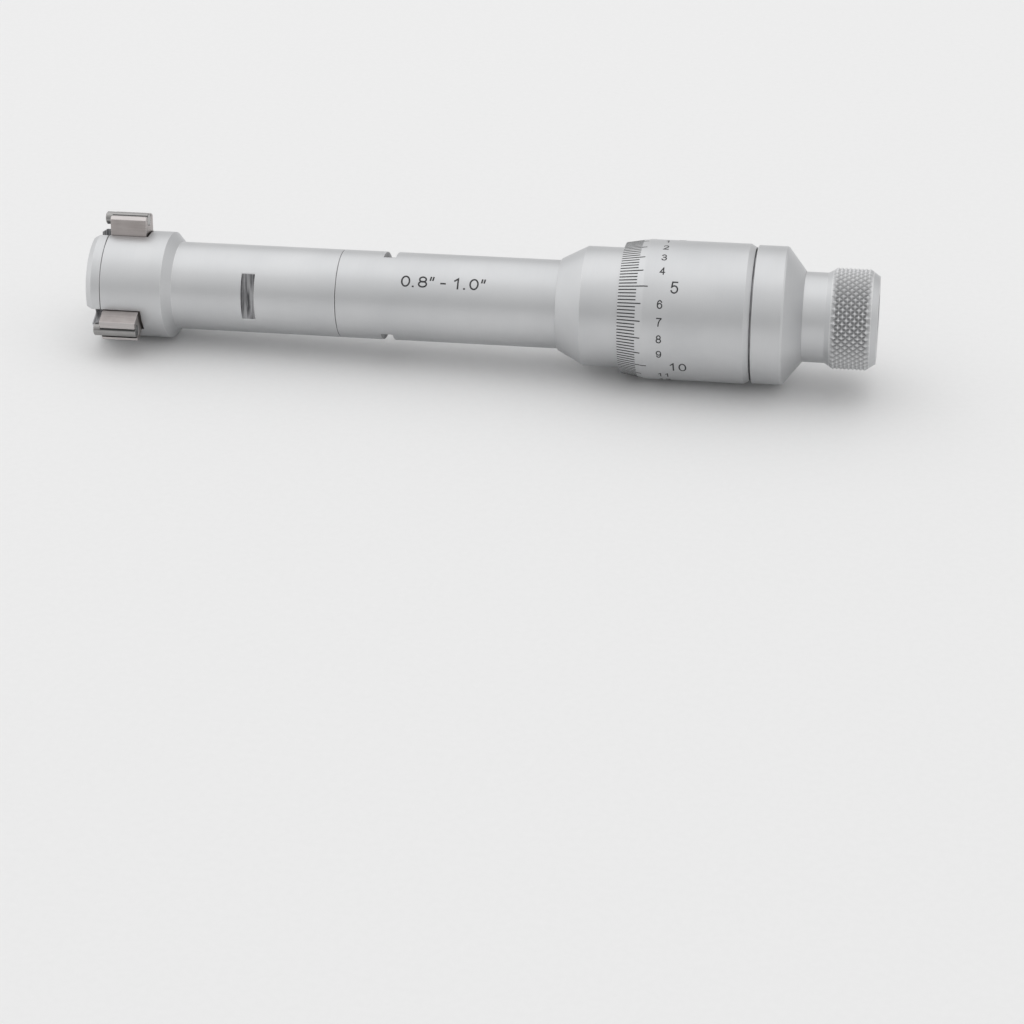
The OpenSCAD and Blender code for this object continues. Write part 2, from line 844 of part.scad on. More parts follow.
module rod_collar() {
    color(INNER_STEEL)
        tube(collar_x0, collar_x0 + collar_len, tube_bore_r - guide_gap, rod_r + press_gap);
}

module spindle() {
    color(INNER_STEEL)
        difference() {
            turned([
                [spindle_tip_x, 0],
                [spindle_tip_x, spindle_tip_r],
                [thread_x0, spindle_tip_r],
                [thread_x0, spindle_r],
                [thread_x1, spindle_r],
                [thread_x1, spindle_collar_r],
                [rear_x0, spindle_collar_r],
                [seat_x1 - guide_gap, spindle_collar_r - seat_taper],
                [seat_x1 - guide_gap, 0]
            ]);
            bar(spindle_tip_x - cut_over, ball_seat_depth, ball_r + press_gap);
            bar(seat_x1 - stem_screw_len, seat_x1 + cut_over, stem_screw_r + press_gap);
        }
}

module spindle_ball() {
    color(INNER_STEEL)
        translate([ball_x, 0, 0])
            sphere(r = ball_r);
}

module thimble() {
    color(CHROME)
        turned([
            [thimble_x0, thimble_bore_r],
            [thimble_x0, thimble_r - bevel_drop],
            [thimble_x0 + bevel_len, thimble_r],
            [thimble_x1 - thimble_chamfer_len, thimble_r],
            [thimble_x1, thimble_r - thimble_chamfer_drop],
            [thimble_x1, rear_spigot_r + press_gap],
            [rear_spigot_x0 - press_gap, rear_spigot_r + press_gap],
            [rear_spigot_x0 - press_gap, thimble_bore_r]
        ]);
}

module rear_cap() {
    color(CHROME)
        turned([
            [rear_spigot_x0, rear_spigot_r - rear_spigot_wall],
            [rear_spigot_x0, rear_spigot_r],
            [rear_x0, rear_spigot_r],
            [rear_x0, rear_r - edge_break],
            [rear_x0 + edge_break, rear_r],
            [rear_x1 - rear_edge, rear_r],
            [rear_x1, rear_r - rear_edge / 2],
            [rear_x2, neck_recess_r + neck_lip],
            [rear_x2, neck_recess_r],
            [rear_x2 - neck_sink, neck_recess_r],
            [rear_x2 - neck_sink, stem_flange_r + press_gap],
            [seat_x1, stem_flange_r + press_gap],
            [seat_x1, spindle_collar_r - seat_taper + press_gap],
            [rear_x0, spindle_collar_r + press_gap],
            [rear_x0, rear_spigot_r - rear_spigot_wall]
        ]);
}

module ratchet_stem() {
    color(INNER_STEEL)
        union() {
            turned([
                [seat_x1 - stem_screw_len + guide_gap, 0],
                [seat_x1 - stem_screw_len + guide_gap, stem_screw_r],
                [seat_x1, stem_screw_r],
                [seat_x1, stem_flange_r],
                [tooth_x0, stem_flange_r],
                [tooth_x0, stem_r],
                [stem_x1, stem_r],
                [stem_x1, stem_tap_r + press_gap],
                [stem_x1 - stem_tap_len, stem_tap_r + press_gap],
                [stem_x1 - stem_tap_len, 0]
            ]);
            saw_teeth(tooth_x0, tooth_x0 - tooth_sink, tooth_in_r, driver_r);
        }
}

module ratchet_screw() {
    head_x0 = stem_x1;
    head_x1 = head_x0 + knob_screw_t;
    color(INNER_STEEL)
        difference() {
            turned([
                [stem_x1 - stem_tap_len + guide_gap, 0],
                [stem_x1 - stem_tap_len + guide_gap, stem_tap_r],
                [head_x0, stem_tap_r],
                [head_x0, knob_screw_r],
                [head_x1 - land_chamfer, knob_screw_r],
                [head_x1, knob_screw_r - land_chamfer],
                [head_x1, 0]
            ]);
            block(
                head_x1 - knob_screw_slot_depth,
                head_x1 + cut_over,
                knob_screw_slot_w,
                -knob_screw_r - cut_over,
                knob_screw_r + cut_over
            );
        }
}

// The key lugs that make the driver turn with the knob
module driver_lugs(x0, x1, width, r) {
    for (i = [0 : lug_count - 1])
        at_angle(360 / lug_count * i)
            intersection() {
                block(x0, x1, width, driver_r - cut_over, r + cut_over);
                bar(x0, x1, r);
            }
}

module ratchet_driver() {
    color(INNER_STEEL)
        union() {
            tube(driver_x0, driver_x1, driver_r, stem_r + guide_gap);
            driver_lugs(knob_x0 + knob_gap, driver_x1, lug_w, lug_r);
            at_angle(tooth_turn)
                saw_teeth(tooth_x0 + tooth_gap, driver_x0 + tooth_sink, tooth_in_r, driver_r - guide_gap);
        }
}

module ratchet_spring() {
    color(SPRING_STEEL)
        coil(
            driver_x1 + press_gap,
            web_x0 - press_gap,
            ratchet_spring_r,
            ratchet_spring_wire,
            ratchet_spring_turns
        );
}

module ratchet_knob() {
    color(CHROME)
        difference() {
            union() {
                turned([
                    [knob_x0, cavity_r],
                    [knob_x0, knob_neck_r - edge_break],
                    [knob_x0 + edge_break, knob_neck_r],
                    [knob_neck_x1, knob_neck_r],
                    [knurl_x0 - guide_gap, grip_r],
                    [knurl_x1 + guide_gap, grip_r],
                    [knob_x1, knob_end_d / 2],
                    [knob_x1, knob_screw_r + knob_screw_room],
                    [web_x1, knob_screw_r + knob_screw_room],
                    [web_x1, stem_r + slide_gap],
                    [web_x0, stem_r + slide_gap],
                    [web_x0, cavity_r]
                ]);
                knurl_band();
            }
            driver_lugs(knob_x0 - cut_over, web_x0, lug_w + 2 * guide_gap, lug_r + guide_gap);
        }
}

module anvil_a() {
    at_angle(ANVIL_ANGLES[0])
        anvil();
}

module anvil_b() {
    at_angle(ANVIL_ANGLES[1])
        anvil();
}

module anvil_c() {
    at_angle(ANVIL_ANGLES[2])
        anvil();
}

module tip_a() {
    at_angle(ANVIL_ANGLES[0])
        tip();
}

module tip_b() {
    at_angle(ANVIL_ANGLES[1])
        tip();
}

module tip_c() {
    at_angle(ANVIL_ANGLES[2])
        tip();
}

head_body();
end_cap();
end_cap_screws();
guide_bush();
retraction_ring();
return_spring();
body_tube();
sleeve();
spindle_nut();
adjusting_nut();
anvil_a();
anvil_b();
anvil_c();
tip_a();
tip_b();
tip_c();
measuring_cone();
push_rod();
rod_collar();
spindle();
spindle_ball();
thimble();
rear_cap();
ratchet_stem();
ratchet_screw();
ratchet_driver();
ratchet_spring();
ratchet_knob();
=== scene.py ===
"""Looks of a three-point inside micrometer on a pale floor: satin chrome, ground anvils, filled marks.

Lengths are in metres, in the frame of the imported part: X along the instrument, Z up, the reader on
the -Y side. Angles about the axis count from straight up towards the reader.
"""

import json
import math

import bmesh
import bpy
from mathutils import Matrix, Vector


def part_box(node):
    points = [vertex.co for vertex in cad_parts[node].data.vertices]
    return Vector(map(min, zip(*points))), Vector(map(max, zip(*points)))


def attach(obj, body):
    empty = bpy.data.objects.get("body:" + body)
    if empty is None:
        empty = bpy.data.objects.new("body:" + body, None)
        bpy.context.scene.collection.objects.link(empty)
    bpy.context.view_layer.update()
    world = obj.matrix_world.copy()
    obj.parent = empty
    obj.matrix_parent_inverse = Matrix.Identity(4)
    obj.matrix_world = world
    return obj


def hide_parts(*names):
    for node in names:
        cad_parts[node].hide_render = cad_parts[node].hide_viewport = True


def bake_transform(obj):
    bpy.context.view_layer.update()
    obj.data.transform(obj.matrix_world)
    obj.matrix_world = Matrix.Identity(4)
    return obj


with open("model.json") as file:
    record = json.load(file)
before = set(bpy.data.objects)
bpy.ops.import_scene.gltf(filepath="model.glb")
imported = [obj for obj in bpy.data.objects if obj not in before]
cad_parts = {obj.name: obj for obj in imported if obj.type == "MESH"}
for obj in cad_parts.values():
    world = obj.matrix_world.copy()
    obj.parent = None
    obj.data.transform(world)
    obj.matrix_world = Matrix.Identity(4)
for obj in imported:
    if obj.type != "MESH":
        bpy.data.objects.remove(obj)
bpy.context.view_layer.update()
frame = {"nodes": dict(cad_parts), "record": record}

MM = 0.001
DEG = math.pi / 180

# Places and radii of the solids, and the cone's travel
CAP_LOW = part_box("end_cap")[0]
HEAD_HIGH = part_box("head_body")[1]
TIP_LOW, TIP_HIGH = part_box("tip_a")
THIMBLE_LOW, THIMBLE_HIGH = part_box("thimble")
REAR_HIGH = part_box("rear_cap")[1]
KNOB_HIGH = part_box("ratchet_knob")[1]
HEAD_R = HEAD_HIGH.y
TUBE_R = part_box("body_tube")[1].y
SLEEVE_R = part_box("sleeve")[1].y
THIMBLE_R = THIMBLE_HIGH.y
JOINTS = {joint["name"]: joint for joint in frame["record"]["behaviour"]["joints"]}
TRAVEL_LOW, TRAVEL_HIGH = JOINTS["cone_advance"]["range_m"]

# Sizes of the part's source that its boxes don't give
CAP_CHAMFER_LEN = 1.0 * MM
CAP_CHAMFER_DROP = 0.6 * MM
TIP_LEAD = 1.2 * MM
ANVIL_TOP_R = 12.3 * MM
HEAD_LEN = 13.4 * MM
SHOULDER_LEN = 1.5 * MM
BEVEL_LEN = 4.25 * MM
BEVEL_DROP = 0.75 * MM
REAR_EDGE_DROP = 0.15 * MM
REAR_BEVEL_LEN = 3.0 * MM
REAR_END_R = 7.8 * MM
KNURL_LEN = 6.7 * MM
KNURL_DEPTH = 0.45 * MM
KNURL_END = 1.1 * MM

# Marks are thin solids, proud of their surface by the lift and sunk into it by the depth
MARK_LIFT = 0.012 * MM
MARK_DEPTH = 0.03 * MM
MARK_ARC_STEP = 0.25 * MM
MITRE_LIMIT = 0.5

# Thimble scale: five divisions to a number, twenty-five numbers to a turn
NUMBERS = 25
DIVISIONS_PER_NUMBER = 5
LARGE_NUMBER_EVERY = 5
NUMBER_STEP = 2 * math.pi / NUMBERS
NUMBER_FIVE_ANGLE = 46.1 * DEG
LINE_W = 0.2 * MM
SHORT_LINE_LEN = 3.05 * MM
NUMBER_LINE_LEN = 3.95 * MM
LARGE_LINE_LEN = 4.95 * MM
SMALL_DIGIT_LEAD = 6.7 * MM
SMALL_DIGIT_H = 1.5 * MM
SMALL_DIGIT_STROKE = 0.2 * MM
LARGE_DIGIT_LEAD = 8.75 * MM
LARGE_DIGIT_H = 2.15 * MM
LARGE_DIGIT_STROKE = 0.25 * MM
DIGIT_W_SHARE = 0.62

# Measuring range on the tube, behind the neck
RANGE_TEXT = '0.8" - 1.0"'
RANGE_X = HEAD_HIGH.x + 11.35 * MM
RANGE_ANGLE = 44.3 * DEG
RANGE_H = 2.05 * MM
RANGE_STROKE = 0.28 * MM
RANGE_DIGIT_W_SHARE = 0.79

# Sleeve's scale on the far side, a line for each turn of the thimble
SCALE_ANGLE = -90 * DEG
SCALE_STEPS = 8
SCALE_TOP_X = THIMBLE_LOW.x + TRAVEL_LOW
SCALE_PITCH = (TRAVEL_HIGH - TRAVEL_LOW) / SCALE_STEPS
SCALE_LABEL_EVERY = 4
SCALE_LABELS = ("1.0", "0.9", "0.8")
SCALE_LINE_W = 0.12 * MM
SCALE_SHORT = 1.1 * MM
SCALE_LONG = 1.8 * MM
SCALE_DIGIT_H = 0.85 * MM
SCALE_DIGIT_STROKE = 0.12 * MM
SCALE_LABEL_LEAD = 1.75 * MM
INDEX_LEAD = 1.6 * MM

# Gaps between characters as shares of their height, and the degrees between the points of their arcs
LETTER_GAP = 0.17
SPACE_GAP = 0.36
GLYPH_ARC_STEP = 15

# The retraction ring's thirds lie between planes through the axis, turned from their anvil's direction
ARC_CUT_TURN = 30 * DEG
WELD = 0.0001 * MM

# Noise scales per metre, alike or along each axis, with most of the noise between its low and its high
NOISE_LOW = 0.3
NOISE_HIGH = 0.7
CLOUD_SCALE = 90
RING_SCALE = (5200, 90, 90)
GRAIN_SCALE = 7000
BLOTCH_SCALE = 420
MILLED_SCALE = (2600, 240, 240)
FILL_SCALE = 2500
MOTTLE_SCALE = 900
GROUND_SPREAD = (0.7, 1.3)
MILLED_SPREAD = (0.36, 0.64)
FILL_SPREAD = (0.35, 0.75)

# Relief of the finishes, how far their roughness swings, and the edges that they round
RING_SHARE = 0.5
TURNED_RELIEF = 0.0012 * MM
TURNED_SWING = 0.05
GROUND_RELIEF = 0.002 * MM
GROUND_SWING = 0.06
FILL_RELIEF = 0.002 * MM
FILL_ROUGHNESS = (0.45, 0.65)
EDGE_RADIUS = 0.12 * MM
EDGE_SAMPLES = 6
# Where the painted highlight on edges starts and where it is full, by how far the rounded normal leans
EDGE_LEAN = (0.99, 0.90)

# Painted shade in cuts, in knurl valleys and along the rods' grooves, and a painted highlight on
# chamfers: where they start
CUT_DEPTHS = (0.05 * MM, 0.1 * MM)
CAP_FACE_FADE = (0.02 * MM, 0.06 * MM)
VALLEY_SHADE_START = 0.3 * KNURL_DEPTH
KNURL_FADE = KNURL_LEN / 10
GROOVE_SHADE_RISE = 0.12 * MM
GROOVE_SHADE_FADE = 0.05 * MM
CHAMFER_HIGHLIGHT_LEAN = (0.5, 0.6)


def grey(tone):
    return (tone, tone, tone, 1)


# Colours of the finishes
# Painted shade in slots, notches and recesses, streaked with tool marks
CUT_SHADE_DARK = (0.09, 0.09, 0.095, 1)
CUT_SHADE_LIGHT = (0.40, 0.40, 0.41, 1)
# Painted shade at the bottom of the knurl
VALLEY_SHADE_COLOUR = (0.32, 0.32, 0.325, 1)
# Painted shade along the carbide rods, where they sit in their grooves
GROOVE_SHADE_COLOUR = grey(0.06)
# Painted highlight on the anvils' chamfers and the lands beside their rods
CHAMFER_HIGHLIGHT_COLOUR = (0.57, 0.54, 0.53, 1)
FILL_DARK = (0.018, 0.018, 0.02, 1)
FILL_WORN = (0.045, 0.045, 0.047, 1)
# The edge colours in these finishes are painted highlights on the edges
CHROME = {
    "dark": (0.575, 0.582, 0.592, 1),
    "light": (0.625, 0.630, 0.638, 1),
    "roughness": 0.42,
    "edge_light": grey(0.84),
}
INNER_METALS = {
    "bare_steel": {
        "dark": (0.42, 0.43, 0.45, 1),
        "light": (0.50, 0.51, 0.53, 1),
        "roughness": 0.32,
        "edge_light": grey(0.7),
    },
    "dark_steel": {
        "dark": (0.17, 0.17, 0.18, 1),
        "light": (0.26, 0.26, 0.27, 1),
        "roughness": 0.42,
        "edge_light": grey(0.5),
    },
    "spring_steel": {
        "dark": (0.26, 0.27, 0.29, 1),
        "light": (0.36, 0.37, 0.39, 1),
        "roughness": 0.34,
        "edge_light": grey(0.5),
    },
    "bronze": {
        "dark": (0.48, 0.32, 0.14, 1),
        "light": (0.62, 0.43, 0.21, 1),
        "roughness": 0.36,
        "edge_light": (0.8, 0.62, 0.36, 1),
    },
}
GROUND_STEEL = {
    "dark": (0.355, 0.325, 0.315, 1),
    "light": (0.465, 0.432, 0.422, 1),
    "roughness": 0.38,
    "edge_light": (0.78, 0.75, 0.74, 1),
    "scratch_scale": (260, 5200, 5200),
}
CARBIDE = {
    "dark": (0.30, 0.295, 0.29, 1),
    "light": (0.36, 0.355, 0.35, 1),
    "roughness": 0.2,
    "edge_light": (0.45, 0.44, 0.43, 1),
    "scratch_scale": (150, 2600, 2600),
}

# Camera at the photograph's place
SENSOR_MM = 36
LENS_MM = 95.24
NEAREST = 0.01
EYE = Vector((144.4, -417.4, 200.0)) * MM
HEADING = 9.76 * DEG
PITCH = 29.72 * DEG
ROLL = -1.3 * DEG

# Floor and lamp
FLOOR_SIZE = 60.0
FLOOR_TONE = 0.84
FLOOR_MOTTLE = 0.985
FLOOR_ROUGHNESS = 0.75
KEY_PLACE = Vector((0.0, 0.30, 0.75))
KEY_AIM = Vector((0.068, 0, 0))
KEY_SIZE = 1.2
KEY_WATTS = 1.4

# Sky: (rise, tone) stops from the horizon up, and how its strength changes along the instrument
SKY_FRONT_TONES = ((0.0, 0.72), (0.03, 0.70), (0.13, 0.43), (0.45, 0.64), (0.85, 0.90))
SKY_BACK_TONES = ((0.0, 0.72), (0.03, 0.72), (0.13, 0.70), (0.45, 0.68), (0.85, 0.90))
SKY_SIDES = 0.6
SKY_LEAN = 0.1


def around(x, angle, radius):
    """The point at a station, an angle about the axis and a distance from it."""
    return Vector((x, -radius * math.sin(angle), radius * math.cos(angle)))


def add_piece(name, bm, material):
    """Makes a mesh piece from bm, closed and facing outwards."""
    bmesh.ops.recalc_face_normals(bm, faces=bm.faces)
    mesh = bpy.data.meshes.new(name)
    bm.to_mesh(mesh)
    bm.free()
    mesh.materials.append(material)
    piece = bpy.data.objects.new(name, mesh)
    bpy.context.scene.collection.objects.link(piece)
    return piece


# Marks

def thimble_radius(x):
    """Radius of the thimble's outside, with the graduated bevel at its front."""
    share = min((x - THIMBLE_LOW.x) / BEVEL_LEN, 1)
    return THIMBLE_R - BEVEL_DROP * (1 - share)


def sleeve_radius(x):
    """Radius of the sleeve's outside, which is the same at every station behind its cone front."""
    return SLEEVE_R


def add_strip(bm, sections, closed=False):
    """A bar through four-cornered sections, closed on itself or at both ends."""
    rings = [[bm.verts.new(corner) for corner in section] for section in sections]
    pairs = list(zip(rings, rings[1:]))
    if closed:
        pairs.append((rings[-1], rings[0]))
    for near, far in pairs:
        for k in range(4):
            j = (k + 1) % 4
            bm.faces.new((near[k], near[j], far[j], far[k]))
    if not closed:
        bm.faces.new(rings[0])
        bm.faces.new(rings[-1])


def mark_section(left, right, radius):
    """The four corners of a mark between two (x, angle) places on a surface."""
    places = (left, right, right, left)
    heights = (MARK_LIFT, MARK_LIFT, -MARK_DEPTH, -MARK_DEPTH)
    return [around(x, angle, radius + h) for (x, angle), h in zip(places, heights)]


def add_axial_line(bm, stations, angle, width, radius_at):
    """A filled line along the axis that follows the surface."""
    sections = []
    for x in stations:
        half = width / 2 / radius_at(x)
        sections.append(mark_section((x, angle - half), (x, angle + half), radius_at(x)))
    add_strip(bm, sections)


def add_round_line(bm, x, angle, length, width, radius):
    """A filled line round the axis from angle on."""
    count = math.ceil(length / MARK_ARC_STEP)
    turns = [angle + length / radius * i / count for i in range(count + 1)]
    low, high = x - width / 2, x + width / 2
    add_strip(bm, [mark_section((low, turn), (high, turn), radius) for turn in turns])


def arc(u, v, ru, rv, start, end):
    """Points of an ellipse's arc between two angles in degrees."""
    count = math.ceil(abs(end - start) / GLYPH_ARC_STEP)
    angles = [(start + (end - start) * i / count) * DEG for i in range(count + 1)]
    return [(u + ru * math.cos(a), v + rv * math.sin(a)) for a in angles]


def oval(u, v, ru, rv):
    """Points of a whole ellipse, the last a step before the first."""
    return arc(u, v, ru, rv, 0, 360 - GLYPH_ARC_STEP)


def turned_over(strokes):
    """Strokes of a character turned half round in its box."""
    return [[(1 - u, 1 - v) for u, v in stroke] for stroke in strokes]


def make_glyphs():
    """Characters as (width as a share of a digit's, open strokes, closed strokes) in a unit box."""
    six_tail = [arc(0.5, 0.5, 0.5, 0.5, 35, 180) + [(0, 0.31)]]
    six_bowl = [oval(0.5, 0.31, 0.5, 0.31)]
    three = [
        arc(0.48, 0.75, 0.43, 0.25, 158, -75),
        arc(0.5, 0.265, 0.5, 0.265, 80, -162),
        [(0.34, 0.52), (0.62, 0.52)],
    ]
    five = [(0.92, 1), (0.2, 1), (0.1, 0.53)] + arc(0.5, 0.325, 0.5, 0.325, 140, -155)
    return {
        "0": (1, [], [oval(0.5, 0.5, 0.5, 0.5)]),
        "1": (1, [[(0.22, 0.76), (0.64, 1), (0.64, 0)]], []),
        "2": (1, [arc(0.5, 0.71, 0.48, 0.29, 165, -30) + [(0.02, 0), (1, 0)]], []),
        "3": (1, three, []),
        "4": (1, [[(0.74, 0), (0.74, 1), (0, 0.28), (1, 0.28)]], []),
        "5": (1, [five], []),
        "6": (1, six_tail, six_bowl),
        "7": (1, [[(0, 1), (1, 1)] + arc(1.3, 0, 0.96, 0.98, 108, 180)], []),
        "8": (1, [], [oval(0.5, 0.75, 0.42, 0.25), oval(0.5, 0.27, 0.5, 0.27)]),
        "9": (1, turned_over(six_tail), turned_over(six_bowl)),
        ".": (0.28, [[(0, 0), (0.15, 0)]], []),
        '"': (0.4, [[(0, 0.72), (0.18, 1)], [(0.82, 0.72), (1, 1)]], []),
        "-": (0.5, [[(0, 0.42), (1, 0.42)]], []),
    }


GLYPHS = make_glyphs()


def refined(points, closed):
    """The points with others between them, so that a stroke bends with its surface."""
    ends = points[1:] + points[:1] if closed else points[1:]
    fine = []
    for a, b in zip(points, ends):
        count = math.ceil((b - a).length / MARK_ARC_STEP)
        fine += [a.lerp(b, i / count) for i in range(count)]
    return fine if closed else fine + [points[-1]]


def stroke_sides(points, closed, width):
    """The left and right edges of a stroke, mitred at its corners and squared off at its ends."""
    last = len(points) - 1
    half = width / 2
    sides = []
    for i, point in enumerate(points):
        before = point - points[i - 1] if i or closed else points[1] - point
        after = points[(i + 1) % len(points)] - point if i < last or closed else before
        before, after = before.normalized(), after.normalized()
        along = (before + after).normalized()
        across = Vector((-along.y, along.x)) * half / max(along.dot(after), MITRE_LIMIT)
        cap = Vector((0, 0)) if closed or 0 < i < last else along * (half if i else -half)
        sides.append((point + across + cap, point - across + cap))
    return sides


def add_text(bm, text, x, angle, height, width_share, stroke, radius):
    """Text on a cylinder that reads along the axis from x on, its middle at an angle, its top upwards."""
    rise = height - stroke
    pen = x + stroke / 2
    for character in text:
        if character == " ":
            pen += SPACE_GAP * height
            continue
        share, open_strokes, closed_strokes = GLYPHS[character]
        wide = share * (width_share * height - stroke)
        for strokes, closed in ((open_strokes, False), (closed_strokes, True)):
            for points in strokes:
                placed = [Vector((pen + u * wide, (v - 0.5) * rise)) for u, v in points]
                sides = stroke_sides(refined(placed, closed), closed, stroke)
                places = [[(p.x, angle - p.y / radius) for p in pair] for pair in sides]
                add_strip(bm, [mark_section(*pair, radius) for pair in places], closed)
        pen += wide + stroke + LETTER_GAP * height


def number_angle(number):
    """Where a number's line stands on the thimble."""
    return NUMBER_FIVE_ANGLE + (number - LARGE_NUMBER_EVERY) * NUMBER_STEP


def make_thimble_scale(material):
    lines = bmesh.new()
    digits = bmesh.new()
    start = THIMBLE_LOW.x
    bevel_end = start + BEVEL_LEN
    for i in range(NUMBERS * DIVISIONS_PER_NUMBER):
        number, part = divmod(i, DIVISIONS_PER_NUMBER)
        large = number % LARGE_NUMBER_EVERY == 0
        end = start + (SHORT_LINE_LEN if part else LARGE_LINE_LEN if large else NUMBER_LINE_LEN)
        stations = sorted({start, min(bevel_end, end), end})
        angle = number_angle(i / DIVISIONS_PER_NUMBER)
        add_axial_line(lines, stations, angle, LINE_W, thimble_radius)
    for number in range(NUMBERS):
        large = number % LARGE_NUMBER_EVERY == 0
        x = start + (LARGE_DIGIT_LEAD if large else SMALL_DIGIT_LEAD)
        height = LARGE_DIGIT_H if large else SMALL_DIGIT_H
        stroke = LARGE_DIGIT_STROKE if large else SMALL_DIGIT_STROKE
        angle = number_angle(number)
        add_text(digits, str(number), x, angle, height, DIGIT_W_SHARE, stroke, THIMBLE_R)
    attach(add_piece("thimble_graduation", lines, material), "thimble")
    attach(add_piece("thimble_numbers", digits, material), "thimble")


def make_range_marking(material):
    bm = bmesh.new()
    share = RANGE_DIGIT_W_SHARE
    add_text(bm, RANGE_TEXT, RANGE_X, RANGE_ANGLE, RANGE_H, share, RANGE_STROKE, TUBE_R)
    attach(add_piece("range_marking", bm, material), "frame")


def make_sleeve_scale(material):
    bm = bmesh.new()
    stations = [SCALE_TOP_X - INDEX_LEAD, SCALE_TOP_X + SCALE_STEPS * SCALE_PITCH]
    add_axial_line(bm, stations, SCALE_ANGLE, SCALE_LINE_W, sleeve_radius)
    digits = (SCALE_DIGIT_H, DIGIT_W_SHARE, SCALE_DIGIT_STROKE)
    label_angle = SCALE_ANGLE + (SCALE_LONG + SCALE_DIGIT_H) / SLEEVE_R
    for i in range(SCALE_STEPS + 1):
        labelled = i % SCALE_LABEL_EVERY == 0
        x = SCALE_TOP_X + i * SCALE_PITCH
        length = SCALE_LONG if labelled else SCALE_SHORT
        add_round_line(bm, x, SCALE_ANGLE, length, SCALE_LINE_W, SLEEVE_R)
        if labelled:
            label = SCALE_LABELS[i // SCALE_LABEL_EVERY]
            add_text(bm, label, x - SCALE_LABEL_LEAD, label_angle, *digits, SLEEVE_R)
    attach(add_piece("sleeve_scale", bm, material), "frame")


# Springs copied as pieces of their own

def copy_solid(node):
    """A welded copy of a solid's mesh."""
    bm = bmesh.new()
    bm.from_mesh(frame["nodes"][node].data)
    bmesh.ops.remove_doubles(bm, verts=bm.verts, dist=WELD)
    return bm


def make_return_coil(material):
    """The return spring again, as a piece of its own in place of the solid."""
    coil = add_piece("return_coil", copy_solid("return_spring"), material)
    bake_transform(coil)
    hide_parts("return_spring")


def cut_third(bm, outward):
    """Keeps what lies within a sixth of a turn of a direction, and closes the cuts."""
    for turn in (-ARC_CUT_TURN, ARC_CUT_TURN):
        kept_side = Matrix.Rotation(turn, 3, "X") @ outward
        parts = bm.verts[:] + bm.edges[:] + bm.faces[:]
        plane = {"plane_co": (0, 0, 0), "plane_no": kept_side}
        bmesh.ops.bisect_plane(bm, geom=parts, **plane, clear_inner=True)
    bmesh.ops.holes_fill(bm, edges=bm.edges)


def make_retraction_arcs(material):
    """The retraction ring again, a third to each anvil, each a piece of its own in place of the solid."""
    for body in ("anvil_a", "anvil_b", "anvil_c"):
        outward = Vector(JOINTS[f"{body}_slide"]["axis"])
        bm = copy_solid("retraction_ring")
        cut_third(bm, outward)
        piece = add_piece(f"retraction_arc_{body[-1]}", bm, material)
        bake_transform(piece)
        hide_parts("retraction_ring")


# Materials

class Nodes:
    """A node tree, with short calls for the nodes that the looks share."""

    def __init__(self, tree):
        self.tree = tree

    def add(self, kind, inputs=None, **settings):
        node = self.tree.nodes.new(kind)
        for key, value in settings.items():
            setattr(node, key, value)
        for key, value in (inputs or {}).items():
            self.feed(node.inputs[key], value)
        return node

    def feed(self, socket, value):
        """Links a socket to another one, or gives it a value."""
        if isinstance(value, bpy.types.NodeSocket):
            self.tree.links.new(value, socket)
        else:
            socket.default_value = value

    def math(self, operation, a, b):
        return self.add("ShaderNodeMath", {0: a, 1: b}, operation=operation).outputs[0]

    def vector(self, operation, a, b=(0, 0, 0)):
        """A vector made from one vector or two."""
        node = self.add("ShaderNodeVectorMath", {0: a, 1: b}, operation=operation)
        return node.outputs["Vector"]

    def measure(self, operation, a, b=(0, 0, 0)):
        """A number taken from one vector or two."""
        node = self.add("ShaderNodeVectorMath", {0: a, 1: b}, operation=operation)
        return node.outputs["Value"]

    def spread(self, value, low, high, to_low, to_high):
        """A value mapped from one range to another and held within it."""
        node = self.add("ShaderNodeMapRange", {"Value": value, "From Min": low, "From Max": high})
        self.feed(node.inputs["To Min"], to_low)
        self.feed(node.inputs["To Max"], to_high)
        return node.outputs[0]

    def mix(self, share, a, b):
        """A colour from a to b."""
        node = self.add("ShaderNodeMix", {0: share}, data_type="RGBA")
        self.feed(node.inputs[6], a)
        self.feed(node.inputs[7], b)
        return node.outputs[2]


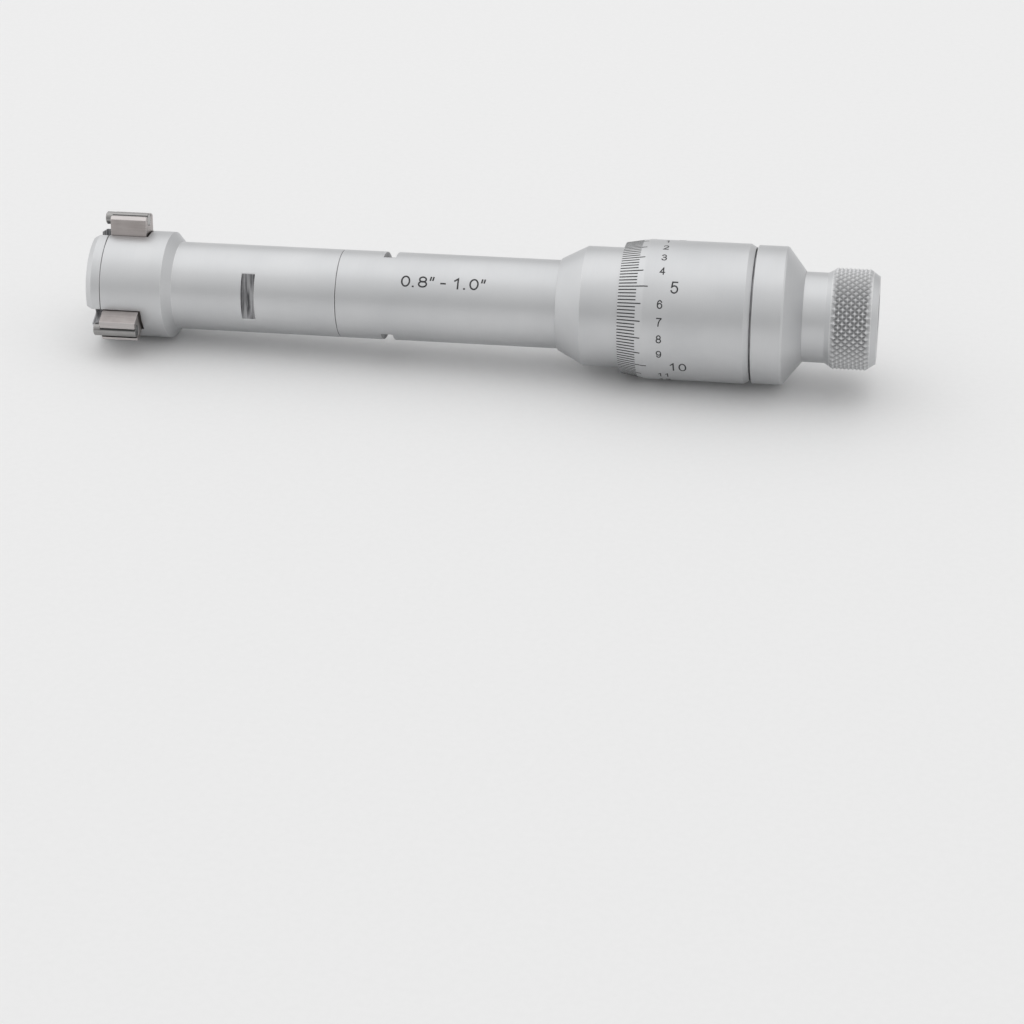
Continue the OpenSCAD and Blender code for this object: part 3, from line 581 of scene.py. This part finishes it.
class Finish(Nodes):
    """A material, with its place on the instrument and the textures that the finishes share."""

    def __init__(self, name):
        self.material = bpy.data.materials.new(name)
        self.material.use_nodes = True
        super().__init__(self.material.node_tree)
        self.shader = self.tree.nodes["Principled BSDF"]
        self.place = self.add("ShaderNodeTexCoord").outputs["Object"]
        self.x = self.add("ShaderNodeSeparateXYZ", {0: self.place}).outputs["X"]
        self.across = self.vector("MULTIPLY", self.place, (0, 1, 1))
        self.radius = self.measure("LENGTH", self.across)

    def shade(self, **values):
        for key, value in values.items():
            self.feed(self.shader.inputs[key.replace("_", " ")], value)

    def noise(self, scale, detail):
        """Noise of one scale, or of a scale along each axis."""
        place = self.place
        if isinstance(scale, tuple):
            place, scale = self.vector("MULTIPLY", place, scale), 1
        inputs = {"Vector": place, "Scale": scale, "Detail": detail}
        return self.add("ShaderNodeTexNoise", inputs).outputs["Fac"]

    def band(self, x0, x1, fade):
        """1 between two stations, with a fade inside each."""
        entry = self.spread(self.x, x0, x0 + fade, 0, 1)
        return self.math("MULTIPLY", entry, self.spread(self.x, x1 - fade, x1, 1, 0))

    def rounded(self):
        """The normal with every edge rounded."""
        inputs = {"Radius": EDGE_RADIUS}
        return self.add("ShaderNodeBevel", inputs, samples=EDGE_SAMPLES).outputs[0]

    def bump(self, height, distance, normal=None):
        inputs = {"Height": height, "Distance": distance, "Strength": 1}
        if normal is not None:
            inputs["Normal"] = normal
        return self.add("ShaderNodeBump", inputs).outputs[0]

    def facing(self, direction):
        """How far the surface faces a direction: 1 if fully, 0 if side on."""
        true = self.add("ShaderNodeNewGeometry").outputs["True Normal"]
        return self.measure("DOT_PRODUCT", direction, true)

    def edge(self, rounded):
        """1 on an edge and 0 away from it, from how far the rounded normal leans from the flat one."""
        return self.spread(self.facing(rounded), *EDGE_LEAN, 0, 1)


def milled_cut(g, colour, x0, radius0, x1, radius1):
    """Paints shade, streaked with tool marks, on what lies below an outside from radius0 at x0 to radius1
    at x1.
    """
    depth = g.math("SUBTRACT", g.spread(g.x, x0, x1, radius0, radius1), g.radius)
    behind_face = g.spread(g.x, *CAP_FACE_FADE, 0, 1)
    cut = g.math("MULTIPLY", g.spread(depth, *CUT_DEPTHS, 0, 1), behind_face)
    marks = g.spread(g.noise(MILLED_SCALE, 3), *MILLED_SPREAD, 0, 1)
    return g.mix(cut, colour, g.mix(marks, CUT_SHADE_DARK, CUT_SHADE_LIGHT))


def knurl_valleys(g, colour):
    """Painted shade: darkens the knob's colour towards the bottom of its knurl."""
    end = KNOB_HIGH.x - KNURL_END
    along = g.band(end - KNURL_LEN, end, KNURL_FADE)
    depth = g.math("SUBTRACT", KNOB_HIGH.y, g.radius)
    valley = g.spread(depth, VALLEY_SHADE_START, KNURL_DEPTH, 0, 1)
    return g.mix(g.math("MULTIPLY", along, valley), colour, VALLEY_SHADE_COLOUR)


def brazed_seam(g, colour):
    """Painted shade: darkens a carbide rod along its anvil's groove, up to a little above the anvil's
    top.
    """
    along = g.band(TIP_LOW.x + TIP_LEAD, TIP_HIGH.x - GROOVE_SHADE_FADE / 2, GROOVE_SHADE_FADE)
    top = ANVIL_TOP_R + GROOVE_SHADE_RISE
    sunk = g.spread(g.radius, top - GROOVE_SHADE_FADE, top, 1, 0)
    return g.mix(g.math("MULTIPLY", along, sunk), colour, GROOVE_SHADE_COLOUR)


def polished_chamfers(g, colour):
    """Painted highlight, lightening what faces away from the axis: an anvil's chamfers and the lands
    beside its rod.
    """
    lean = g.facing(g.vector("NORMALIZE", g.across))
    return g.mix(g.spread(lean, *CHAMFER_HIGHLIGHT_LEAN, 0, 1), colour, CHAMFER_HIGHLIGHT_COLOUR)


def turned_finish(name, dark, light, roughness, edge_light, paint_light_and_shade=None, **sizes):
    """Turned metal: fine rings round the axis, a satin grain, soft clouds of tone and a painted highlight
    on its edges.

    An optional function paints shade or a highlight on a part of it, given the finish, the colour and the
    sizes.
    """
    g = Finish(name)
    cloud = g.spread(g.noise(CLOUD_SCALE, 3), NOISE_LOW, NOISE_HIGH, 0, 1)
    rings = g.noise(RING_SCALE, 3)
    grain = g.noise(GRAIN_SCALE, 2)
    both = g.math("ADD", rings, grain)
    swing = (roughness - TURNED_SWING, roughness + TURNED_SWING)
    height = g.math("ADD", g.math("MULTIPLY", rings, RING_SHARE), grain)
    rounded = g.rounded()
    # Painted highlight on the edges
    colour = g.mix(g.edge(rounded), g.mix(cloud, dark, light), edge_light)
    if paint_light_and_shade:
        colour = paint_light_and_shade(g, colour, **sizes)
    g.shade(
        Base_Color=colour,
        Metallic=1,
        Roughness=g.spread(both, 2 * NOISE_LOW, 2 * NOISE_HIGH, *swing),
        Normal=g.bump(height, TURNED_RELIEF, rounded),
    )
    return g.material


def ground_finish(name, dark, light, roughness, edge_light, scratch_scale, paint_light_and_shade):
    """Flat-ground metal: straight fine scratches, blotches of tone and a painted highlight on its edges.

    A function paints shade or a highlight on a part of it, given the finish and the colour.
    """
    g = Finish(name)
    blotches = g.noise(BLOTCH_SCALE, 4)
    scratches = g.noise(scratch_scale, 3)
    tone = g.spread(g.math("ADD", blotches, scratches), *GROUND_SPREAD, 0, 1)
    swing = (roughness - GROUND_SWING, roughness + GROUND_SWING)
    rounded = g.rounded()
    # Painted highlight on the edges
    colour = g.mix(g.edge(rounded), g.mix(tone, dark, light), edge_light)
    g.shade(
        Base_Color=paint_light_and_shade(g, colour),
        Metallic=1,
        Roughness=g.spread(scratches, NOISE_LOW, NOISE_HIGH, *swing),
        Normal=g.bump(scratches, GROUND_RELIEF, rounded),
    )
    return g.material


def make_fill():
    """The black filling of engraved marks, a little uneven."""
    g = Finish("black_fill")
    cloud = g.noise(FILL_SCALE, 3)
    g.shade(
        Base_Color=g.mix(g.spread(cloud, *FILL_SPREAD, 0, 1), FILL_DARK, FILL_WORN),
        Roughness=g.spread(cloud, NOISE_LOW, NOISE_HIGH, *FILL_ROUGHNESS),
        Normal=g.bump(cloud, FILL_RELIEF),
    )
    return g.material


def cut_chrome(name, x0, radius0, x1, radius1):
    """Chrome with painted shade, streaked with tool marks, below an outside from radius0 at x0 to radius1
    at x1.
    """
    sizes = {"x0": x0, "radius0": radius0, "x1": x1, "radius1": radius1}
    return turned_finish(name, **CHROME, paint_light_and_shade=milled_cut, **sizes)


def make_finishes():
    """One material for each slot of the record, and those of the pieces with cuts."""
    shoulder = (HEAD_LEN, HEAD_R, HEAD_LEN + SHOULDER_LEN, TUBE_R)
    cap_chamfer = (CAP_LOW.x, HEAD_R - CAP_CHAMFER_DROP, CAP_LOW.x + CAP_CHAMFER_LEN, HEAD_R)
    rear_edge = REAR_HIGH.y - REAR_EDGE_DROP
    rear_cone = (REAR_HIGH.x - REAR_BEVEL_LEN, rear_edge, REAR_HIGH.x, REAR_END_R)
    finishes = {name: turned_finish(name, **metal) for name, metal in INNER_METALS.items()}
    finishes |= {
        "satin_chrome": turned_finish("satin_chrome", **CHROME),
        # The head, tube and caps get painted shade in their slots and notches, the rear cap on its spigot
        # inside the thimble
        "head_body": cut_chrome("head_chrome", *shoulder),
        "body_tube": cut_chrome("tube_chrome", *shoulder),
        "end_cap": cut_chrome("cap_chrome", *cap_chamfer),
        "rear_cap": cut_chrome("rear_chrome", *rear_cone),
        "knurled_chrome": turned_finish("knurled_chrome", **CHROME, paint_light_and_shade=knurl_valleys),
        "ground_steel": ground_finish("ground_steel", **GROUND_STEEL, paint_light_and_shade=polished_chamfers),
        "carbide": ground_finish("carbide", **CARBIDE, paint_light_and_shade=brazed_seam),
    }
    return finishes


def dress_solids(finishes):
    """Gives every solid its own finish if it has one, or else that of its slot."""
    for row in frame["record"]["subparts"]:
        node = frame["nodes"][row["node"]]
        node.data.materials.clear()
        node.data.materials.append(finishes.get(row["node"], finishes[row["material_slot"]]))


# Stage, light and camera

def make_floor():
    """A pale floor that touches the head's front edge and the corner of the thimble's bevel."""
    head_rest = Vector((CAP_LOW.x + CAP_CHAMFER_LEN, 0, -HEAD_R))
    thimble_rest = Vector((THIMBLE_LOW.x + BEVEL_LEN, 0, -THIMBLE_R))
    slope = math.atan2(head_rest.z - thimble_rest.z, thimble_rest.x - head_rest.x)
    half = FLOOR_SIZE / 2
    corners = [(-half, -half, 0), (half, -half, 0), (half, half, 0), (-half, half, 0)]
    mesh = bpy.data.meshes.new("floor")
    mesh.from_pydata(corners, [], [(0, 1, 2, 3)])
    floor = bpy.data.objects.new("floor", mesh)
    floor.matrix_world = Matrix.Translation(head_rest) @ Matrix.Rotation(slope, 4, "Y")
    bpy.context.scene.collection.objects.link(floor)
    g = Finish("floor")
    mottle = g.spread(g.noise(MOTTLE_SCALE, 4), NOISE_LOW, NOISE_HIGH, 0, 1)
    colour = g.mix(mottle, grey(FLOOR_MOTTLE * FLOOR_TONE), grey(FLOOR_TONE))
    g.shade(Base_Color=colour, Roughness=FLOOR_ROUGHNESS)
    mesh.materials.append(g.material)


def make_lamp():
    light = bpy.data.lights.new("key", "AREA")
    light.shape = "SQUARE"
    light.size = KEY_SIZE
    light.energy = KEY_WATTS
    lamp = bpy.data.objects.new("key", light)
    lamp.location = KEY_PLACE
    lamp.rotation_euler = (KEY_AIM - KEY_PLACE).to_track_quat("-Z", "Y").to_euler()
    bpy.context.scene.collection.objects.link(lamp)


def sky_tone(g, rise, tones):
    """The sky's tone at a rise above the horizon, through (rise, tone) stops."""
    ramp = g.add("ShaderNodeValToRGB", {0: rise})
    stops = ramp.color_ramp.elements
    while len(stops) < len(tones):
        stops.new(1)
    for stop, (position, tone) in zip(stops, tones):
        stop.position = position
        stop.color = grey(tone)
    return ramp.outputs["Color"]


def make_sky():
    """A soft sky, brighter overhead and off the instrument's ends.

    A dark band lies low on the reader's side and past the knob, and fades towards the back and the head.
    """
    world = bpy.data.worlds.new("sky")
    world.use_nodes = True
    bpy.context.scene.world = world
    g = Nodes(world.node_tree)
    place = g.add("ShaderNodeTexCoord").outputs["Generated"]
    x, y, z = g.add("ShaderNodeSeparateXYZ", {0: place}).outputs
    subtract = {"operation": "SUBTRACT", "use_clamp": True}
    behind = g.add("ShaderNodeMath", {0: y, 1: x}, **subtract).outputs[0]
    colour = g.mix(behind, sky_tone(g, z, SKY_FRONT_TONES), sky_tone(g, z, SKY_BACK_TONES))
    sides = g.math("SUBTRACT", g.math("MULTIPLY", x, SKY_SIDES), SKY_LEAN)
    strength = g.math("ADD", g.math("MULTIPLY", x, sides), 1)
    background = world.node_tree.nodes["Background"]
    g.feed(background.inputs["Color"], colour)
    g.feed(background.inputs["Strength"], strength)


def make_camera():
    data = bpy.data.cameras.new("camera")
    data.sensor_width = SENSOR_MM
    data.lens = LENS_MM
    data.clip_start = NEAREST
    camera = bpy.data.objects.new("camera", data)
    turn = Matrix.Rotation(HEADING, 4, "Z") @ Matrix.Rotation(math.pi / 2 - PITCH, 4, "X")
    camera.matrix_world = Matrix.Translation(EYE) @ turn @ Matrix.Rotation(ROLL, 4, "Z")
    bpy.context.scene.collection.objects.link(camera)
    bpy.context.scene.camera = camera


def main():
    bpy.context.scene.view_settings.view_transform = "Standard"
    finishes = make_finishes()
    dress_solids(finishes)
    make_return_coil(finishes["spring_steel"])
    make_retraction_arcs(finishes["spring_steel"])
    fill = make_fill()
    make_thimble_scale(fill)
    make_range_marking(fill)
    make_sleeve_scale(fill)
    make_floor()
    make_lamp()
    make_sky()
    make_camera()


main()
